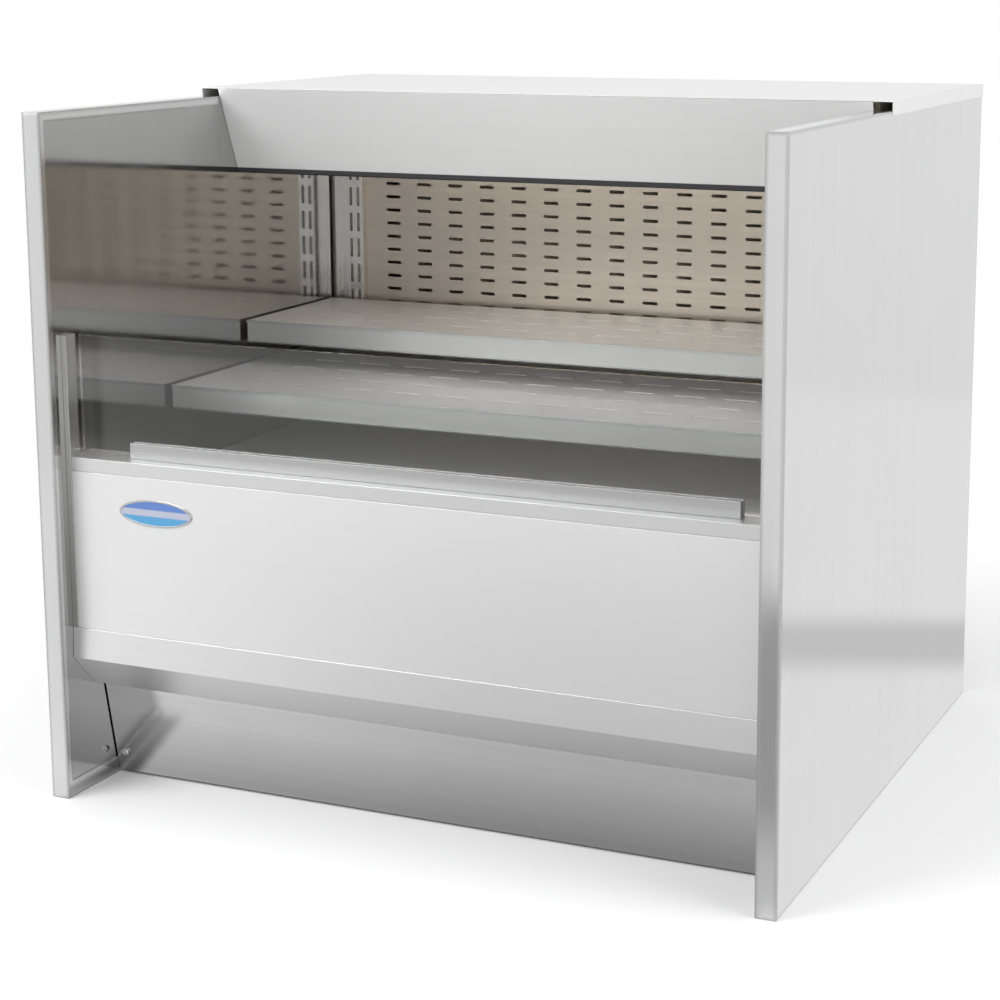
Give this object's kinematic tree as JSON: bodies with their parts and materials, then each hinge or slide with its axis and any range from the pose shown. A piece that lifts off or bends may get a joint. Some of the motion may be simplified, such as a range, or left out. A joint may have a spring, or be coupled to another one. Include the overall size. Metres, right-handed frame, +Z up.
{
  "type": "undercounter refrigerated display case",
  "caption": "Low open-front refrigerated display case between tall flat end panels, with stepped shelves, a riser glass, a slotted back wall and a leaning kick panel.",
  "frame": {"origin": "middle of the footprint, on the floor", "axes": "+Z up, -Y towards the shopper at the open front, +X to the right as seen by that shopper"},
  "size_m": [0.9652, 0.8636, 0.875],
  "materials": {
    "satin_stainless": "fine horizontal brushing, satin",
    "mirror_stainless": "near-mirror brushed stainless",
    "interior_stainless": "satin stainless sheet",
    "shelf_coat": "satin silver-grey powder coat",
    "galvanised": "galvanised sheet, soft spangle",
    "frame_paint": "black satin paint",
    "foot_steel": "zinc-plated steel",
    "black_paint": "gloss black enamel",
    "foam": "closed-cell foam, cut faces",
    "clear_glass": "clear tempered glass, polished edges",
    "channel_aluminium": "satin anodised extrusion",
    "black_rubber": "matt black extrusion",
    "white_plastic": "matt white",
    "lamp_diffuser": "frosted white diffuser",
    "clear_plastic": "clear glossy extrusion",
    "badge_blue": "blank blue plate with a bright rim",
    "coil_fins": "bare aluminium fins",
    "copper": "dull copper tube",
    "fan_plastic": "black moulded blades",
    "motor_black": "black enamelled casting",
    "grey_plastic": "matt grey moulding",
    "switch_plastic": "satin black moulding"
  },
  "bodies": {
    "cabinet": {"end_panel_left": "satin_stainless", "end_panel_right": "satin_stainless", "canopy_lid": "satin_stainless", "canopy_fascia": "satin_stainless", "side_stiles": "satin_stainless", "sill_cap": "satin_stainless", "bumper_rail": "satin_stainless", "end_liner_left": "mirror_stainless", "end_liner_right": "mirror_stainless", "back_wall_panel": "interior_stainless", "ceiling_panel": "interior_stainless", "shelf_standards": "interior_stainless", "body_liner": "interior_stainless", "fan_plenum": "interior_stainless", "body_outer_shell": "galvanised", "condensing_unit_tray": "galvanised", "condenser_shroud": "galvanised", "control_box": "galvanised", "base_frame": "frame_paint", "compressor": "black_paint", "body_foam": "foam", "end_panel_cores": "foam", "glass_channel": "channel_aluminium", "fascia_edge_strip": "black_rubber", "air_curtain_honeycomb": "white_plastic", "lamp_housing": "white_plastic", "lamp_lens": "lamp_diffuser", "evaporator_coil": "coil_fins", "condenser_coil": "coil_fins", "refrigerant_lines": "copper", "evaporator_fan_motors": "motor_black", "condenser_fan_motor": "motor_black", "drain_tube": "grey_plastic", "condensate_pan": "grey_plastic", "power_inlet_gland": "switch_plastic"},
    "front_panel_body": {"front_panel": "satin_stainless", "badge_plate": "badge_blue"},
    "kick_panel_body": {"kick_panel": "satin_stainless", "kick_screws": "satin_stainless"},
    "rear_panel_body": {"rear_grille_panel": "galvanised", "rear_panel_screws": "galvanised"},
    "deck_body": {"deck_pan": "interior_stainless"},
    "return_grille_body": {"return_air_grille": "interior_stainless"},
    "riser_glass_body": {"riser_glass": "clear_glass"},
    "lower_shelf_body": {"shelf_lower": "shelf_coat", "shelf_lower_brackets": "shelf_coat", "shelf_lower_tag_strip": "clear_plastic"},
    "upper_shelf_body": {"shelf_upper": "shelf_coat", "shelf_upper_brackets": "shelf_coat", "shelf_upper_tag_strip": "clear_plastic"},
    "evaporator_fan_left_body": {"evaporator_fan_left": "fan_plastic"},
    "evaporator_fan_right_body": {"evaporator_fan_right": "fan_plastic"},
    "condenser_fan_body": {"condenser_fan": "fan_plastic"},
    "power_switch_body": {"power_switch": "switch_plastic"},
    "lamp_switch_body": {"lamp_switch": "switch_plastic"},
    "thermostat_body": {"thermostat_knob": "switch_plastic"},
    "foot_front_left_body": {"foot_front_left": "foot_steel"},
    "foot_front_right_body": {"foot_front_right": "foot_steel"},
    "foot_rear_left_body": {"foot_rear_left": "foot_steel"},
    "foot_rear_right_body": {"foot_rear_right": "foot_steel"}
  },
  "joints": [
    {"name": "front_panel_pull", "type": "slide", "parent": "cabinet", "child": "front_panel_body", "axis": [0, -1, 0], "range_m": [0, 0.06]},
    {"name": "kick_panel_pull", "type": "slide", "parent": "cabinet", "child": "kick_panel_body", "axis": [0, -1, 0], "range_m": [0, 0.06]},
    {"name": "rear_panel_pull", "type": "slide", "parent": "cabinet", "child": "rear_panel_body", "axis": [0, 1, 0], "range_m": [0, 0.06]},
    {"name": "deck_lift", "type": "slide", "parent": "cabinet", "child": "deck_body", "axis": [0, 0, 1], "range_m": [0, 0.03]},
    {"name": "return_grille_lift", "type": "slide", "parent": "cabinet", "child": "return_grille_body", "axis": [0, 0, 1], "range_m": [0, 0.04]},
    {"name": "riser_glass_lift", "type": "slide", "parent": "cabinet", "child": "riser_glass_body", "axis": [0, 0, 1], "range_m": [0, 0.04]},
    {"name": "lower_shelf_lift", "type": "slide", "parent": "cabinet", "child": "lower_shelf_body", "axis": [0, 0, 1], "range_m": [0, 0.009]},
    {"name": "upper_shelf_lift", "type": "slide", "parent": "cabinet", "child": "upper_shelf_body", "axis": [0, 0, 1], "range_m": [0, 0.012]},
    {"name": "evaporator_fan_left_spin", "type": "hinge", "parent": "cabinet", "child": "evaporator_fan_left_body", "pos_m": [-0.15, -0.1018, 0.32], "axis": [0, 1, 0], "continuous": true},
    {"name": "evaporator_fan_right_spin", "type": "hinge", "parent": "cabinet", "child": "evaporator_fan_right_body", "pos_m": [0.15, -0.1018, 0.32], "axis": [0, 1, 0], "continuous": true},
    {"name": "condenser_fan_spin", "type": "hinge", "parent": "cabinet", "child": "condenser_fan_body", "pos_m": [-0.22, -0.2238, 0.1193], "axis": [0, 1, 0], "continuous": true},
    {"name": "power_switch_rock", "type": "hinge", "parent": "cabinet", "child": "power_switch_body", "pos_m": [0.275, 0.3892, 0.155], "axis": [1, 0, 0], "range_deg": [-9, 9]},
    {"name": "lamp_switch_rock", "type": "hinge", "parent": "cabinet", "child": "lamp_switch_body", "pos_m": [0.315, 0.3892, 0.155], "axis": [1, 0, 0], "range_deg": [-9, 9]},
    {"name": "thermostat_turn", "type": "hinge", "parent": "cabinet", "child": "thermostat_body", "pos_m": [0.365, 0.4082, 0.155], "axis": [0, 1, 0], "range_deg": [-135, 135]},
    {"name": "foot_front_left_screw", "type": "slide", "parent": "cabinet", "child": "foot_front_left_body", "axis": [0, 0, -1], "range_m": [0, 0.02]},
    {"name": "foot_front_right_screw", "type": "slide", "parent": "cabinet", "child": "foot_front_right_body", "axis": [0, 0, -1], "range_m": [0, 0.02]},
    {"name": "foot_rear_left_screw", "type": "slide", "parent": "cabinet", "child": "foot_rear_left_body", "axis": [0, 0, -1], "range_m": [0, 0.02]},
    {"name": "foot_rear_right_screw", "type": "slide", "parent": "cabinet", "child": "foot_rear_right_body", "axis": [0, 0, -1], "range_m": [0, 0.02]}
  ]
}
